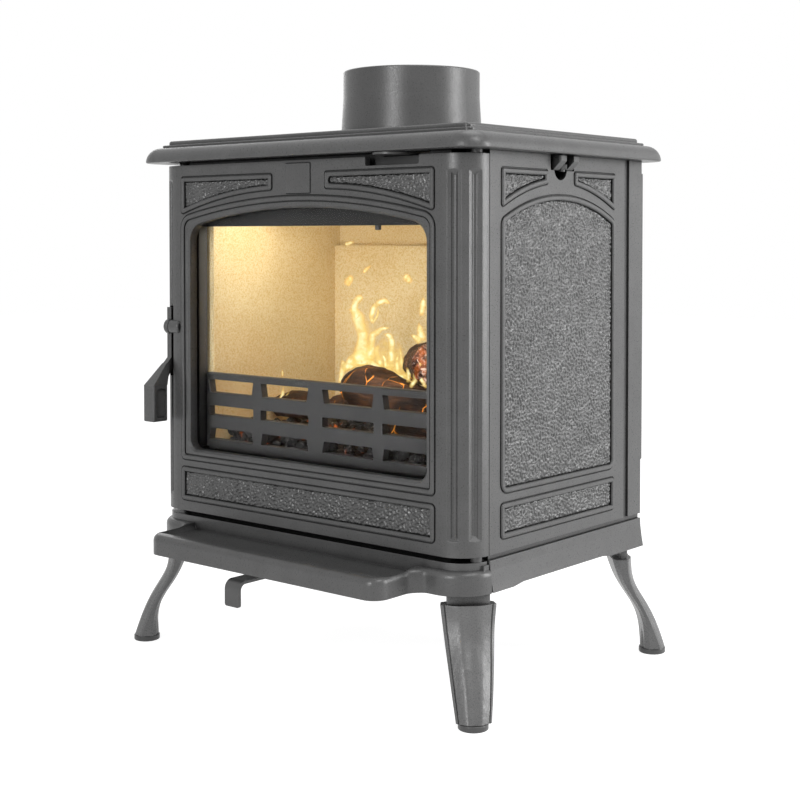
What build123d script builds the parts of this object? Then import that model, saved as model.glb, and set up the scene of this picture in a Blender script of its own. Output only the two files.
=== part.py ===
from build123d import *
from math import cos, pi, sin, sqrt
import os

os.makedirs("parts", exist_ok=True)

# A wood stove on four legs, in millimetres: x to the right, y back from the door's face, z up
door_half = 182.0
column_radius = 31.0
body_back = 302.2
leg_height = 113.3
skirt_height = 29.3
body_height = 379.2
top_slab = 16.3
top_overhang = 17.3
collar_height = 74.1
collar_outer = 74.0
opening_margin = 17.0
window_margin = 19.0

# Walls, gaps and fits
wall = 7.0
shell_wall = 4.5
part_gap = 0.3
door_seat_gap = 0.6
door_gap_below = 5.05
door_gap_above = 3.54
shaft_clearance = 0.05
slide_gap = 0.3
fixed_fit = 0.02

# Levels and widths that follow from them
opening_half = door_half - opening_margin
window_half = door_half - window_margin
body_half = door_half + column_radius
panel_inner = body_half - wall
base_bottom = leg_height
base_top = base_bottom + skirt_height
rim_bottom = base_top + body_height
plate_top = rim_bottom + top_slab + 7.9
collar_top = plate_top + collar_height
door_bottom = base_top + door_gap_below
door_top = rim_bottom - door_gap_above
plate_front = -14.8
plate_back = body_back + 28.6
plate_half = body_half + top_overhang

# The row's frame: y of the middle of everything
pull_front = -67.0
row_shift = -(pull_front + plate_back) / 2


def box(x0, x1, y0, y1, z0, z1):
    size = Box(x1 - x0, y1 - y0, z1 - z0)
    return Pos((x0 + x1) / 2, (y0 + y1) / 2, (z0 + z1) / 2) * size


def both(x0, x1, y0, y1, z0, z1):
    return box(x0, x1, y0, y1, z0, z1) + box(-x1, -x0, y0, y1, z0, z1)


def rod(x, y, z0, z1, radius):
    return Pos(x, y, (z0 + z1) / 2) * Cylinder(radius, z1 - z0)


def rod_x(x0, x1, y, z, radius):
    return Pos((x0 + x1) / 2, y, z) * Rot(0, 90, 0) * Cylinder(radius, x1 - x0)


def rod_y(x, y0, y1, z, radius):
    return Pos(x, (y0 + y1) / 2, z) * Rot(90, 0, 0) * Cylinder(radius, y1 - y0)


def hexagon(x, y, z0, z1, across):
    return Pos(x, y, z0) * extrude(RegularPolygon(across / sqrt(3), 6), amount=z1 - z0)


def outline(*points):
    return make_face(Polyline(*points, close=True))


def across(points, x0, x1):
    """A section drawn as (y, z) and pulled from x0 to x1"""
    return extrude(Plane.YZ.offset(x0) * outline(*points), amount=x1 - x0)


def along(points, y0, y1):
    """A section drawn as (x, z) and pulled from y0 to y1"""
    return extrude(Plane.XZ.offset(-y1) * outline(*points), amount=y1 - y0)


def upright(plane, shape, depth):
    """A drawing of the front or a side pulled outwards, or inwards when depth is negative"""
    return extrude(plane * shape, amount=depth)


def round_rect(x0, x1, z0, z1, radius):
    return Pos((x0 + x1) / 2, (z0 + z1) / 2) * RectangleRounded(x1 - x0, z1 - z0, radius)


def bowed(half, bottom, crown, radius, corner, top_corner, centre=0.0):
    """Outline with upright sides and a bowed top"""
    spring = crown - radius + sqrt(radius**2 - half**2)
    left = centre - half
    right = centre + half
    sides = Polyline((left, spring), (left, bottom), (right, bottom), (right, spring))
    bow = ThreePointArc((right, spring), (centre, crown), (left, spring))
    face = make_face([*sides.edges(), bow])
    face = fillet(face.vertices().sort_by(Axis.Y)[-2:], top_corner)
    return fillet(face.vertices().sort_by(Axis.Y)[:2], corner)


def relief(plane, outer, inner, height, sink):
    """Raised border with bevelled edges, and the sunk field inside it"""
    border = extrude(plane * (outer - inner), amount=height)
    out = Axis(plane.origin, plane.z_dir)
    border = chamfer(border.faces().sort_by(out)[-1].edges(), border_bevel)
    field = extrude(plane * inner, amount=-sink)
    return border, field


def mirrored(shape):
    return mirror(shape, about=Plane.YZ)


def save(name, shape):
    export_step(Pos(0, row_shift, 0) * shape, f"parts/{name}.step")


# Relief on the castings
border_bevel = 1.1
border_height = 1.7
border_width = 4.8
field_sink = 2.0
groove_width = 1.2
groove_depth = 1.3
front = Plane.XZ
side = Plane.YZ.offset(body_half)


def groove(plane, outer, inner):
    return extrude(plane * (outer - inner), amount=-groove_depth)


def framed(plane, shape, inner=None):
    """Border and field of a panel, and the thin groove cut round it"""
    inner = inner or offset(shape, amount=-border_width)
    border, field = relief(plane, shape, inner, border_height, field_sink)
    return border, field + groove(plane, offset(shape, amount=groove_width), shape)


# Hinge axis of the door, behind the corner of the right column
hinge_x = body_half - 8.5
hinge_y = 24.0
pin_radius = 3.0
pin_bore = pin_radius + shaft_clearance
pin_reach = 8.0
shoulder_radius = 5.5

# Door, one casting with its two fluted corner columns
door_plate = 7.0
door_back = 32.0
column_shell = 5.0
end_plate = 8.0
end_plate_back = 30.0
flute_turns = (24.1, 62.0)
flute_steps = ((6.6, 1.9), (3.5, 3.6))
flute_low = door_bottom + 14.5
flute_high = door_top - 14.5
flute_slope = 1.5
window_bottom = base_top + 71.9
window_crown = rim_bottom - 50.8
window_radius = window_half * 4.583
window_corner = 11.0
window_top_corner = 20.0
window_rib = 5.0
rib_back = door_plate + 4.5
band_half = door_half - 7.7
band_bottom = window_bottom - 11.2
band_crown = window_crown + 11.9
band_radius = window_radius + 11.9
band_corner = 4.5
band_top_corner = 16.0


def door_plan(inset, back):
    r = column_radius - inset
    right = door_half + r
    return make_face([
        Line((-door_half, inset), (door_half, inset)),
        CenterArc((door_half, column_radius), r, -90, 90),
        Line((right, column_radius), (right, back)),
        Line((right, back), (-right, back)),
        Line((-right, back), (-right, column_radius)),
        CenterArc((-door_half, column_radius), r, 180, 90),
    ])


def flute_cutter(turn, half_width, depth):
    """Round-bottomed flute on the right column, with a sloping face at each end"""
    rim = sqrt(column_radius**2 - half_width**2)
    sag = depth - (column_radius - rim)
    radius = (half_width**2 + sag**2) / (2 * sag)
    floor = column_radius - depth
    tool = rod(floor + radius, 0, flute_low - 10, flute_high + 10, radius)
    run = flute_slope * (column_radius - floor)
    out = flute_slope * 4
    ends = [
        (floor, flute_low + run),
        (column_radius + 4, flute_low - out),
        (column_radius + 4, flute_high + out),
        (floor, flute_high - run),
    ]
    tool &= along(ends, -12, 12)
    return Pos(door_half, column_radius, 0) * Rot(0, 0, turn - 90) * tool


door = Pos(0, 0, door_bottom) * extrude(door_plan(0, door_back), amount=door_top - door_bottom)
column_inner = door_half + 2
door -= box(-column_inner, column_inner, door_plate, 40, door_bottom - 1, door_top + 1)
hollow = Pos(0, 0, door_bottom + end_plate) * extrude(
    door_plan(column_shell, 40), amount=door_top - door_bottom - 2 * end_plate)
door -= hollow & both(column_inner, body_half, 0, 40, door_bottom, door_top)
for low, high in ((door_bottom - 1, door_bottom + end_plate), (door_top - end_plate, door_top + 1)):
    door -= both(column_inner - 1, body_half - column_shell, end_plate_back, 40, low, high)
for turn in flute_turns:
    for half_width, depth in flute_steps:
        flute = flute_cutter(turn, half_width, depth)
        door -= flute
        door -= mirrored(flute)

# Raised border round the window, the bowed opening and the rib that carries the glass
band = bowed(band_half, band_bottom, band_crown, band_radius, band_corner, band_top_corner)
band_inner = bowed(
    band_half - border_width, band_bottom + border_width, band_crown - border_width,
    band_radius - border_width, band_corner - 1.5, band_top_corner - border_width)
door += relief(front, band, band_inner, border_height, field_sink)[0]
door -= groove(front, offset(band, amount=groove_width), band)
door -= groove(front, band_inner, offset(band_inner, amount=-groove_width))
window = bowed(
    window_half, window_bottom, window_crown, window_radius, window_corner, window_top_corner)
rib = bowed(
    window_half + window_rib, window_bottom - window_rib, window_crown + window_rib,
    window_radius + window_rib, window_corner + window_rib, window_top_corner + window_rib)
door += upright(front, rib, -rib_back)
door -= upright(Plane.XZ.offset(5), window, -40)
window_bevel = 2.4
door -= extrude(
    Plane.XZ.offset(-window_bevel) * window, amount=window_bevel + 0.1, taper=-45)

# Hammered fields: one below the window, and one in each upper corner
panel_bottom = base_top + 16.8
panel_top = base_top + 52.2
lower_panel = round_rect(-band_half, band_half, panel_bottom, panel_top, 4)
spandrel_top = rim_bottom - 16.3
spandrel_out = door_half - 8.5
spandrel_length = 136.7
spandrel_end_drop = 4.0
spandrel_corner = 2.6


def spandrel_at(x):
    """Height of the spandrel's lower edge, which follows the bow of the window"""
    return band_crown + 7.4 - band_radius + sqrt(band_radius**2 - x**2)


def front_spandrel():
    top = spandrel_top
    far = spandrel_out
    near = far - spandrel_length
    middle = (near + far) / 2
    far_low = spandrel_at(far) - spandrel_end_drop
    face = make_face([
        Line((near, top), (far, top)),
        Line((far, top), (far, far_low)),
        ThreePointArc((far, far_low), (middle, spandrel_at(middle)), (near, spandrel_at(near))),
        Line((near, spandrel_at(near)), (near, top)),
    ])
    return fillet(face.vertices(), spandrel_corner)


def round_ended(face):
    """The same outline with its end towards the middle of the door made round"""
    ends = face.vertices().sort_by(Axis.X)[:2]
    height = abs(ends[0].Z - ends[1].Z) + abs(ends[0].Y - ends[1].Y)
    return fillet(ends, 0.48 * height)


# Handle slot in the left column, with the lug that carries the handle's pin
slot_left = -(door_half + 17.8)
slot_right = -(door_half + 9.9)
slot_low = base_top + 148.4
slot_high = base_top + 224.4
pivot_y = door_plate - 4.0
pivot_z = base_top + 202.4
lug_radius = 7.5
lug_right = -(door_half - 5)
handle_pin_radius = 2.5
pin_head_radius = 3.8

# Notch in the top edge for the tab of the air slide
tab_root_left = door_half - 83.4
tab_root_right = door_half - 45.7
air_wash_travel = 18.0
notch = round_rect(
    tab_root_left - 9.6, tab_root_right + air_wash_travel + 1.3, door_top - 8.8, door_top + 8, 2.5)

# Blank plate above the window
badge = round_rect(-16.6, 16.8, rim_bottom - 36.5, rim_bottom - 6.8, 0.6)
badge_rim = offset(badge, amount=0.6)

right_spandrel = front_spandrel()
right_field = round_ended(offset(right_spandrel, amount=-border_width))
for shape, inner in (
        (lower_panel, None), (right_spandrel, right_field), (mirrored(right_spandrel), None)):
    border, field = framed(front, shape, inner)
    door += border
    door -= field
door -= upright(front, badge_rim, -1.2)
door += upright(Plane.XZ.offset(-1.2), badge, 2.0)
door -= upright(Plane.XZ.offset(2), notch, -door_plate - 3)

# Channel for the rope seal, behind the door
rope_radius = 5.0
rope_half = door_half - 6
rope_low = base_top + 10.4
rope_high = rim_bottom - 24.8
rope_y = door_plate + rope_radius
channel_wall = 1.9


def rope_loop(grow):
    corner = 12 + grow
    return round_rect(-rope_half - grow, rope_half + grow, rope_low - grow, rope_high + grow, corner)


def channel_side(grow):
    ring = rope_loop(grow) - rope_loop(grow - channel_wall)
    return upright(Plane.XZ.offset(-door_plate - 3), ring, 3)


door += channel_side(-rope_radius - 0.1)
door += channel_side(rope_radius + 0.1 + channel_wall) & box(
    -column_inner, column_inner, 0, 40, door_bottom, door_top)

# Slot, lug and pin bores
door -= box(slot_left, slot_right, -5, door_back + 1, slot_low, slot_high)
lug = rod_x(slot_right, lug_right, pivot_y, pivot_z, lug_radius)
lug = fillet(lug.edges().group_by(Axis.X)[-1], 2.5)
door += lug & box(slot_right - 1, lug_right + 1, -20, door_plate, pivot_z - 20, pivot_z + 20)
pin_pocket = lug_right - 2.6
door -= rod_x(slot_right - 1, lug_right, pivot_y, pivot_z, handle_pin_radius)
door -= rod_x(pin_pocket, lug_right + 1, pivot_y, pivot_z, pin_head_radius)
door -= rod(hinge_x, hinge_y, door_bottom - 1, door_bottom + pin_reach, pin_bore)
door -= rod(hinge_x, hinge_y, door_top - pin_reach, door_top + 1, pin_bore)
save("door", door)

# Rope seal
rope_path = Plane.XZ.offset(-rope_y) * rope_loop(0)
rope_start = Plane(origin=(0, rope_y, rope_low), z_dir=(1, 0, 0))
rope = sweep(rope_start * Circle(rope_radius), path=rope_path.wire())
save("door_rope", rope)

# Window glass, its gasket and the clips
gasket = 0.5
glass_front = rib_back + gasket
glass_thick = 4.0
glass_back = glass_front + glass_thick
glass_half = window_half + 6
glass_low = window_bottom - 8.5
glass_high = window_crown + 7
gasket_ring = offset(rib, amount=-0.4) - offset(window, amount=0.4)
save("glass_gasket", upright(Plane.XZ.offset(-glass_front), gasket_ring, gasket))
glass = box(-glass_half, glass_half, glass_front, glass_back, glass_low, glass_high)
save("door_glass", glass)

clip_sheet = 1.1
clip_half = 9.0
clip_places = (-0.62 * window_half, 0.62 * window_half)
clips = []
clip_screws = []
for x in clip_places:
    for edge, way in ((glass_low, -1), (glass_high, 1)):
        wall_0 = edge + way * 0.3
        wall_1 = wall_0 + way * clip_sheet
        foot = wall_1 + way * 9.5
        tongue = box(x - clip_half, x + clip_half, glass_back, glass_back + clip_sheet,
                     min(edge - way * 5, wall_1), max(edge - way * 5, wall_1))
        riser = box(x - clip_half, x + clip_half, door_plate, glass_back + clip_sheet,
                    min(wall_0, wall_1), max(wall_0, wall_1))
        base = box(x - clip_half, x + clip_half, door_plate, door_plate + clip_sheet,
                   min(wall_0, foot), max(wall_0, foot))
        clips.append(tongue + riser + base)
        middle = (wall_1 + foot) / 2
        head = rod_y(x, door_plate + clip_sheet, door_plate + clip_sheet + 2.2, middle, 3.2)
        clip_screws.append(chamfer(head.edges().group_by(Axis.Y)[-1], 0.8))
save("glass_clips", Compound(children=clips))
save("clip_screws", Compound(children=clip_screws))

# Handle: hub, tail and arm in the slot, the grip in front and the tongue behind
lever_left = slot_left + 0.8
lever_right = slot_right - 0.6
arm_front = 1.0
arm_back = 7.5
tail_top = pivot_z + 20.7
arm_low = pivot_z - 33.6
grip_front = -28.0
grip_back = -7.7
grip_top = pivot_z - 62.4
grip_low = pivot_z - 101.5
tongue_back = 35.5
hub_radius = 8.5
grip_left = lever_left - 6.0
grip_right = lever_right + 4.5
arm = across([
    (arm_front, tail_top), (arm_front, arm_low), (grip_front + 1, grip_top),
    (grip_front + 1, grip_top - 6), (grip_back - 1, grip_top - 6), (grip_back - 1, grip_top),
    (arm_back, arm_low - 5), (arm_back, tail_top - 4), (arm_back - 3, tail_top),
], lever_left, lever_right)
tongue = box(lever_left, lever_right, pivot_y, tongue_back, pivot_z - 6, pivot_z + 6)
tongue = fillet(tongue.edges().filter_by(Axis.X).group_by(Axis.Y)[-1], 2)
hub = rod_x(lever_left, lever_right, pivot_y, pivot_z, hub_radius)
hub = fillet(hub.edges().filter_by(GeomType.CIRCLE), 2.2)
grip = box(grip_left, grip_right, grip_front, grip_back, grip_low, grip_top)
grip = fillet(grip.edges().filter_by(Axis.Z), 2.2)
grip = fillet(grip.edges().group_by(Axis.Z)[0], 1.5)
neck_front = -6.0
neck_back = -0.5


def level_wire(x0, x1, y0, y1, z):
    return Wire.make_polygon([(x0, y0, z), (x1, y0, z), (x1, y1, z), (x0, y1, z)], close=True)


shoulder = Solid.make_loft([
    level_wire(lever_left, lever_right, neck_front, neck_back, arm_low - 6),
    level_wire(grip_left + 0.4, grip_right - 0.4, grip_front + 0.4, grip_back - 0.4, grip_top - 0.5),
], ruled=True)
recess = Plane.YZ.offset(grip_right - 1.8) * round_rect(
    grip_front + 4, grip_back - 2, grip_low + 4, grip_top - 4, 4)
grip -= extrude(recess, amount=3)
lever = arm + tongue + hub + grip + shoulder
lever -= rod_x(lever_left - 1, lever_right + 1, pivot_y, pivot_z,
               handle_pin_radius + shaft_clearance)
save("handle_lever", lever)

handle_pin = rod_x(lever_left + 0.4, pin_pocket, pivot_y, pivot_z, handle_pin_radius)
pin_head = rod_x(pin_pocket, lug_right - 0.4, pivot_y, pivot_z, pin_head_radius)
handle_pin += fillet(pin_head.edges().group_by(Axis.X)[-1], 1.2)
save("handle_pin", handle_pin)

# Front frame behind the door, with the fire opening and the ash-pan opening
rope_gap = 0.5
land_front = rope_y + rope_radius + rope_gap
land_back = land_front + 6.0
frame_back = 45.0
reveal_back = land_back + 5.9
frame_half = door_half - 2
cheek_inner = frame_half - 4.5
flange_front = 39.0
opening_low = base_top + 67.4
opening_high = rim_bottom - 68.8
pan_half = 130.0
pan_low = base_top + 16.4
pan_high = base_top + 55.4
slot_z = door_top + 0.3

frame = box(-frame_half, frame_half, land_front, land_back, base_top, rim_bottom)
frame += box(-opening_half - 5, opening_half + 5, land_front, reveal_back,
             opening_low - 5, opening_high + 5)
frame += both(cheek_inner, frame_half, land_front, frame_back, base_top, rim_bottom)
frame += both(cheek_inner, panel_inner, flange_front, frame_back, base_top, rim_bottom)
frame -= box(-opening_half, opening_half, 0, 60, opening_low, opening_high)
frame -= box(-pan_half, pan_half, 0, 60, pan_low, pan_high)
frame -= box(tab_root_left - 1, tab_root_right + air_wash_travel + 1, 0, land_back + 1,
             slot_z, rim_bottom + 1)
fence_front = land_back + 1.3
fence_thick = 8.7
lug_in = opening_half - 7
frame += both(lug_in, opening_half, land_back - 5.5, fence_front - part_gap,
              opening_low, opening_low + 6)
air_hole_z = rim_bottom - 24
air_holes = [-100, -60, -20, 20, 60, 100]
for x in air_holes:
    frame -= box(x - 11, x + 11, 0, 60, air_hole_z - 4, air_hole_z + 4)
save("front_frame", frame)

# Air slide above the window, behind the frame's lintel, and its guides
shutter_front = land_back + slide_gap
shutter_thick = 2.2
shutter_low = air_hole_z - 12
shutter_right = opening_half - 37.0
shutter_left = -shutter_right
tab_low = slot_z + 0.45
tab_high = rim_bottom - 0.6
tab_tip = -13.0
tab_middle = (tab_root_left + tab_root_right) / 2
tab_half = (tab_root_right - tab_root_left) / 2
tab_plan = Pos(tab_middle, 9) * Ellipse(tab_half, 9 - tab_tip)
tab_plan &= Pos(tab_middle, -20) * Rectangle(2 * tab_half + 2, 58)
tab_plan += Pos(tab_middle, (9 + shutter_front + shutter_thick) / 2) * Rectangle(
    2 * tab_half, shutter_front + shutter_thick - 9)
tab = Pos(0, 0, tab_low) * extrude(tab_plan, amount=tab_high - tab_low)
shutter = box(shutter_left, shutter_right, shutter_front, shutter_front + shutter_thick,
              shutter_low, tab_low - 5)
shutter += box(tab_root_left, tab_root_right, shutter_front, shutter_front + shutter_thick,
               tab_low - 6, tab_high)
for x in air_holes:
    shutter -= box(x - 11 - air_wash_travel, x + 11 - air_wash_travel, 20, 30,
                   air_hole_z - 4, air_hole_z + 4)
save("air_wash_slide", tab + shutter)

guide_wall = 2.5
guide_front = land_back
guide_inner = shutter_front + shutter_thick + slide_gap
lower_guide = box(shutter_left - 4, shutter_right + air_wash_travel + 4,
                  guide_front, guide_inner + guide_wall,
                  shutter_low - slide_gap - guide_wall, shutter_low - slide_gap)
lower_guide += box(shutter_left - 4, shutter_right + air_wash_travel + 4,
                   guide_inner, guide_inner + guide_wall,
                   shutter_low - slide_gap, shutter_low + 4)
upper_z = tab_low - 5 + slide_gap
guide_end = opening_half + 1
upper_guide = box(shutter_left - 4, guide_end, guide_inner, guide_inner + guide_wall,
                  upper_z - 4, rim_bottom - part_gap)
for x0, x1 in ((shutter_left - 4, tab_root_left - 4),
               (tab_root_right + air_wash_travel + 4, guide_end)):
    upper_guide += box(x0, x1, guide_front, guide_inner + 1, upper_z, upper_z + guide_wall)
save("air_wash_guides", Compound(children=[lower_guide, upper_guide]))
stop_x = tab_root_left - 15.1
stop_radius = 3.0
stop_pin = rod(stop_x, reveal_back - 3.4, opening_high - 4.5, opening_high, stop_radius)
save("air_wash_stop_pin", fillet(stop_pin.edges().group_by(Axis.Z)[0], 1))

# Keeper behind the handle's tongue
keeper = box(lever_left, lever_right, tongue_back + 0.5, flange_front, pivot_z - 12, pivot_z + 12)
keeper = fillet(keeper.edges().filter_by(Axis.X).group_by(Axis.Y)[0], 1.2)
save("latch_keeper", keeper)

# Side panels
panel_front = door_back + door_seat_gap
arch_centre = (panel_front + body_back) / 2 - 17.9
arch_half = 99.0
arch_low = base_top + 59.9
arch_crown = rim_bottom - 39.5
arch_radius = 215.0
arch_corner = 9.5
side_top = rim_bottom - 15.9
side_spandrel_out = arch_half - 0.3
edge_rise = 13.0
edge_fall = 0.04
clamp_y = arch_centre + 2.5
clamp_half = 16.5
notch_low = rim_bottom - 15.2
hinge_sweep = 12.0


def side_edge(across_from_centre):
    """Lower edge of a side spandrel, a little steeper than the arch below it"""
    r = arch_radius + 15.0
    crown = arch_crown + edge_rise
    return crown - r + sqrt(r**2 - across_from_centre**2) - edge_fall * abs(across_from_centre)


def side_spandrel(way):
    near = arch_centre + way * 23.5
    far = arch_centre + way * side_spandrel_out
    middle = (near + far) / 2
    edges = [
        Line((near, side_top), (far, side_top)),
        Line((far, side_top), (far, side_edge(side_spandrel_out))),
        ThreePointArc((far, side_edge(side_spandrel_out)),
                      (middle, side_edge(middle - arch_centre)), (near, side_edge(23.5))),
        Line((near, side_edge(23.5)), (near, side_top)),
    ]
    return fillet(make_face(edges).vertices(), 2.2)


panel = box(panel_inner, body_half, panel_front, body_back, base_top, rim_bottom)
panel -= rod(hinge_x, hinge_y, base_top - 1, rim_bottom + 1, hinge_sweep)
panel -= box(body_half - 3, body_half + 1, 0, body_back + 1, base_top - 1, base_top + 5)
groove_front = body_back - 35
panel -= box(body_half - 2.4, body_half + 1, groove_front, groove_front + 9.8,
             base_top - 1, rim_bottom + 1)
side_fields = (
    bowed(arch_half, arch_low, arch_crown, arch_radius, arch_corner, arch_corner, arch_centre),
    round_rect(arch_centre - arch_half, arch_centre + arch_half,
               base_top + 17.4, base_top + 50.4, 4),
    side_spandrel(-1),
    side_spandrel(1),
)
for shape in side_fields:
    border, field = framed(side, shape)
    panel += border
    panel -= field
clamp_slot = box(panel_inner - 1, body_half + 3, clamp_y - clamp_half - 4, clamp_y + clamp_half + 4,
                 notch_low, rim_bottom + 1)
panel -= clamp_slot
panel -= rod_x(panel_inner - 1, body_half + 3, clamp_y - 3.5, notch_low + 1.6, 11)
save("right_side_panel", panel)
save("left_side_panel", mirrored(panel))

# Clamps that hold the top plate down, one in each side
prong_out = body_half + 9.0
prong_top = rim_bottom - 1.2
prong_low = rim_bottom - 6.5
clamp_foot = notch_low + 0.3
section = [
    (panel_inner - 6, clamp_foot), (body_half, clamp_foot), (prong_out, prong_low),
    (prong_out, prong_top), (body_half + 1, rim_bottom), (panel_inner - 6, rim_bottom),
]
clamp = along(section, clamp_y - clamp_half, clamp_y + clamp_half)
clamp = fillet(clamp.edges().filter_by(Axis.Z).group_by(Axis.X)[-1], 2)
bolt_x = body_half - 1
clamp -= box(bolt_x - 6.3, prong_out + 1, clamp_y - 6.4, clamp_y + 6.4,
             clamp_foot - 1, rim_bottom - 9.4)
clamp -= box(bolt_x, prong_out + 1, clamp_y - 6.4, clamp_y + 6.4, clamp_foot - 1, rim_bottom + 1)
bolt_radius = 3.0
clamp -= rod(bolt_x, clamp_y, clamp_foot - 1, rim_bottom + 1, bolt_radius)
save("right_top_clamp", clamp)
save("left_top_clamp", mirrored(clamp))
bolt = hexagon(bolt_x, clamp_y, rim_bottom - 14.3, rim_bottom - 9.4, 10)
bolt += rod(bolt_x, clamp_y, rim_bottom - 16.3, rim_bottom + 9, bolt_radius - fixed_fit)
save("right_clamp_bolt", bolt)
save("left_clamp_bolt", mirrored(bolt))

# Rear panel and the heat shield behind it
rear_front = body_back - wall
rear_panel = box(-panel_inner, panel_inner, rear_front, body_back - 0.2, base_top, rim_bottom)
rear_panel += both(30, 36, body_back - 1, body_back + 4, base_top + 6, rim_bottom - 6)
save("rear_panel", rear_panel)
shield_front = body_back + 9.3
shield_sheet = 1.5
shield_half = body_half - 5
shield_low = base_top + 61.4
shield_high = rim_bottom - 12.8
shield = box(-shield_half, shield_half, shield_front, shield_front + shield_sheet,
             shield_low, shield_high)
shield += both(shield_half - shield_sheet, shield_half, shield_front - 6, shield_front,
               shield_low, shield_high)
shield_screws = []
for x in (-shield_half + 30, shield_half - 30):
    for z in (shield_low + 30, shield_high - 30):
        shield -= rod_y(x, shield_front - 1, shield_front + 3, z, bolt_radius)
        screw = rod_y(x, body_back - 0.2, shield_front, z, 6)
        screw += rod_y(x, shield_front - 1, shield_front + shield_sheet, z, bolt_radius - fixed_fit)
        head = rod_y(x, shield_front + shield_sheet, shield_front + shield_sheet + 3, z, 6)
        screw += fillet(head.edges().group_by(Axis.Y)[-1], 1.5)
        shield_screws.append(screw)
for z in range(7):
    level = shield_low + 90 + 20 * z
    shield -= box(-70, 70, shield_front - 1, shield_front + 3, level, level + 6)
save("rear_heat_shield", shield)
save("heat_shield_screws", Compound(children=shield_screws))

# Top plate with a rounded edge and a stepped field
plate_corner = 25.0
edge_round = 16.0
step_inset = 18.4
field_inset = 23.8


def top_layer(inset, z0, z1):
    middle = (plate_front + plate_back) / 2
    width = 2 * (plate_half - inset)
    depth = plate_back - plate_front - 2 * inset
    corner = max(plate_corner - inset, 5)
    return Pos(0, middle, z0) * extrude(RectangleRounded(width, depth, corner), amount=z1 - z0)


slab = top_layer(0, rim_bottom, rim_bottom + top_slab)
slab = fillet(slab.edges().group_by(Axis.Z)[-1], edge_round)
slab = fillet(slab.edges().group_by(Axis.Z)[0], 1.5)
step = top_layer(step_inset, rim_bottom + top_slab - 1, rim_bottom + top_slab + 3.1)
step = fillet(step.edges().group_by(Axis.Z)[-1], 1.2)
field = top_layer(field_inset, rim_bottom + top_slab, plate_top)
field = fillet(field.edges().group_by(Axis.Z)[-1], 2.5)
top_plate = slab + step + field
shell_half = cheek_inner
shell_rear = body_back - 52.6
flue_y = 177.1
flue_inner = 68.0
top_plate -= box(-shell_half + shell_wall, shell_half - shell_wall, frame_back + 5,
                 shell_rear - shell_wall, rim_bottom - 1, rim_bottom + top_slab - 2)
top_plate -= rod(0, flue_y, rim_bottom - 1, plate_top + 1, flue_inner)
for x in (bolt_x, -bolt_x):
    top_plate -= rod(x, clamp_y, rim_bottom - 1, rim_bottom + 9, bolt_radius)
top_plate -= rod(hinge_x, hinge_y, rim_bottom - 1, rim_bottom + pin_reach, pin_radius + fixed_fit)
save("top_plate", top_plate)

# Flue collar
collar_flange = 88.0
flange_thick = 4.5
collar_foot = collar_outer + 2.3
spigot_land = 28.0
collar = Pos(0, flue_y) * revolve(Plane.XZ * outline(
    (flue_inner, plate_top), (collar_flange, plate_top), (collar_flange, plate_top + 3.5),
    (collar_flange - 1, plate_top + flange_thick), (collar_foot + 3, plate_top + flange_thick),
    (collar_foot, plate_top + flange_thick + 3), (collar_outer, collar_top - spigot_land),
    (collar_outer, collar_top - 1), (collar_outer - 1, collar_top),
    (flue_inner + 1, collar_top), (flue_inner, collar_top - 1),
), Axis.Z)
save("flue_collar", collar)
collar_bolts = []
bolt_circle = collar_flange - 4.7
flange_top = plate_top + flange_thick
for turn in (35, 155, 275):
    angle = turn * pi / 180
    x = bolt_circle * cos(angle)
    y = flue_y + bolt_circle * sin(angle)
    head = rod(x, y, flange_top, flange_top + 3.2, 3.4)
    collar_bolts.append(fillet(head.edges().group_by(Axis.Z)[-1], 1.2))
save("collar_bolts", Compound(children=collar_bolts))

# Firebox shell inside the cast body, with ledges for the firebed
firebed_top = base_top + 69.4
firebed_thick = 7.0
ledge_z = firebed_top - firebed_thick
shell_front = land_back
shell_inner = shell_half - shell_wall
shell = both(shell_inner, shell_half, shell_front, shell_rear, base_top, rim_bottom)
shell += box(-shell_half, shell_half, shell_rear - shell_wall, shell_rear, base_top, rim_bottom)
shell += both(shell_inner - 6, shell_inner, reveal_back + 5, shell_rear, ledge_z - 4, ledge_z)
shell += box(-shell_inner, shell_inner, shell_rear - shell_wall - 9, shell_rear,
             ledge_z - 4, ledge_z)
save("firebox_shell", shell)

# Liner boards and baffle
board_front = fence_front + fence_thick + 0.5
side_board = 11.5
rear_board = 9.0
board_top = rim_bottom - 51.8
liner_inner = shell_inner - side_board
rear_lining = shell_rear - shell_wall - rear_board
lower_rear_front = rear_lining - rear_board
right_liner = box(liner_inner, shell_inner, board_front, rear_lining, firebed_top, board_top)
save("right_liner", right_liner)
save("left_liner", mirrored(right_liner))
save("upper_rear_liner", box(-shell_inner, shell_inner, rear_lining, shell_rear - shell_wall,
                             firebed_top, board_top))
save("lower_rear_liner", box(-liner_inner, liner_inner, lower_rear_front, rear_lining,
                             firebed_top, rim_bottom - 89.8))
baffle_front = 95.0
save("baffle_plate", box(-shell_inner, shell_inner, baffle_front, shell_rear - shell_wall,
                         board_top, board_top + 8))

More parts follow.
